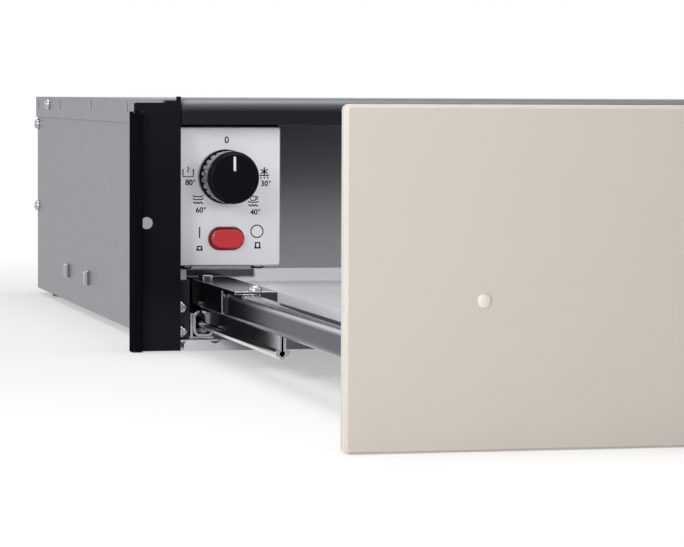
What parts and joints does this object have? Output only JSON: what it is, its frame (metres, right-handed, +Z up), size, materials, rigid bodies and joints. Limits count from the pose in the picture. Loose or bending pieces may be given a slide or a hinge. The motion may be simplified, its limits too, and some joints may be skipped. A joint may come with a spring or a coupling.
{
  "type": "built-in warming drawer",
  "caption": "Handleless built-in warming drawer on full-extension runners, with a glass front, a temperature knob and a power button behind the front, and a fan heater beside its cavity.",
  "frame": {"origin": "middle of the appliance's width, on the niche floor, at the front face of the black frame plates", "axes": "+X to the right seen from the front, +Y into the cabinet, +Z up; the drawer is drawn fully open towards -Y"},
  "size_m": [0.5974, 1.05, 0.1439],
  "materials": {
    "pearl_glass": "enamelled on the back, pearl beige, satin sheen",
    "clear_dot": "clear domed resin",
    "black_lacquer": "satin black lacquer",
    "edge_profile": "black anodised, rounded edge",
    "galvanised": "galvanised sheet with fine spangle",
    "satin_aluminium": "fine brushed and clear anodised",
    "grey_lacquer": "light grey powder coat",
    "rolled_steel": "zinc-plated rolled steel",
    "dark_steel": "dark grey powder coat",
    "zinc_screws": "bright zinc",
    "black_plastic": "satin black moulding",
    "white_print": "white inlay",
    "red_plastic": "red moulding",
    "grey_nylon": "natural nylon",
    "switch_plastic": "ivory thermoset",
    "dark_rubber": "soft black rubber",
    "mineral_wool": "pressed mineral wool",
    "heater_steel": "oxidised heater sheath",
    "motor_steel": "zinc-plated motor can"
  },
  "bodies": {
    "casing": {"side_wall_left": "galvanised", "side_wall_right": "galvanised", "bottom_panel": "galvanised", "rear_panel": "galvanised", "top_cover": "galvanised", "frame_plate_left": "black_lacquer", "frame_plate_right": "black_lacquer", "edge_strip_left": "edge_profile", "edge_strip_right": "edge_profile", "top_front_bar": "black_lacquer", "bottom_front_rail": "grey_lacquer", "rear_feet": "dark_rubber", "cavity_ceiling": "rolled_steel", "insulation_mat": "mineral_wool", "cavity_rear_wall": "galvanised", "service_duct": "galvanised", "control_fascia": "satin_aluminium", "fascia_screws": "zinc_screws", "selector_switch": "switch_plastic", "button_bezel": "red_plastic", "power_switch": "switch_plastic", "motor_plate": "galvanised", "fan_motor": "motor_steel", "heater_ring": "heater_steel", "heat_limiter": "rolled_steel", "terminal_block": "switch_plastic", "cable_gland": "black_plastic", "fixed_rail_left": "rolled_steel", "fixed_rail_right": "rolled_steel", "rail_support_left": "rolled_steel", "rail_support_right": "rolled_steel", "rail_tie_left": "dark_steel", "rail_tie_right": "dark_steel", "casing_screws": "zinc_screws", "latch_housing": "grey_nylon"},
    "drawer": {"front_glass": "pearl_glass", "touch_dot": "clear_dot", "front_carrier": "galvanised", "front_bumpers": "dark_rubber", "tray": "grey_lacquer", "tray_cross_bars": "rolled_steel", "drawer_rail_left": "rolled_steel", "drawer_rail_right": "rolled_steel", "rail_bracket_left": "rolled_steel", "rail_bracket_right": "rolled_steel", "panel_angle_left": "dark_steel", "panel_angle_right": "dark_steel", "drawer_screws": "zinc_screws", "latch_striker": "rolled_steel"},
    "left_runner": {"middle_rail_left": "rolled_steel", "ball_cages_left": "grey_nylon"},
    "right_runner": {"middle_rail_right": "rolled_steel", "ball_cages_right": "grey_nylon"},
    "knob": {"selector_knob": "black_plastic", "knob_pointer": "white_print", "selector_shaft": "rolled_steel"},
    "button": {"power_button": "red_plastic"},
    "fan": {"fan_impeller": "black_plastic", "fan_shaft": "rolled_steel"},
    "plunger": {"latch_plunger": "grey_nylon"}
  },
  "joints": [
    {"name": "drawer_slide", "type": "slide", "parent": "casing", "child": "drawer", "axis": [0, 1, 0], "range_m": [0, 0.5]},
    {"name": "left_runner_slide", "type": "slide", "parent": "casing", "child": "left_runner", "axis": [0, 1, 0], "range_m": [0, 0.25]},
    {"name": "right_runner_slide", "type": "slide", "parent": "casing", "child": "right_runner", "axis": [0, 1, 0], "range_m": [0, 0.25]},
    {"name": "knob_turn", "type": "hinge", "parent": "casing", "child": "knob", "pos_m": [-0.2412, 0, 0.0982], "axis": [0, 1, 0], "range_deg": [0, 270]},
    {"name": "button_press", "type": "slide", "parent": "casing", "child": "button", "axis": [0, 1, 0], "range_m": [0, 0.003], "stiffness_N_per_m": 300},
    {"name": "plunger_press", "type": "slide", "parent": "casing", "child": "plunger", "axis": [0, 1, 0], "range_m": [0, 0.005], "stiffness_N_per_m": 200},
    {"name": "fan_spin", "type": "hinge", "parent": "casing", "child": "fan", "pos_m": [-0.2184, 0.3, 0.088], "axis": [1, 0, 0], "continuous": true}
  ],
  "couplings": [
    {"joint": "left_runner_slide", "follows": "drawer_slide", "ratio": 0.5},
    {"joint": "right_runner_slide", "follows": "drawer_slide", "ratio": 0.5}
  ]
}
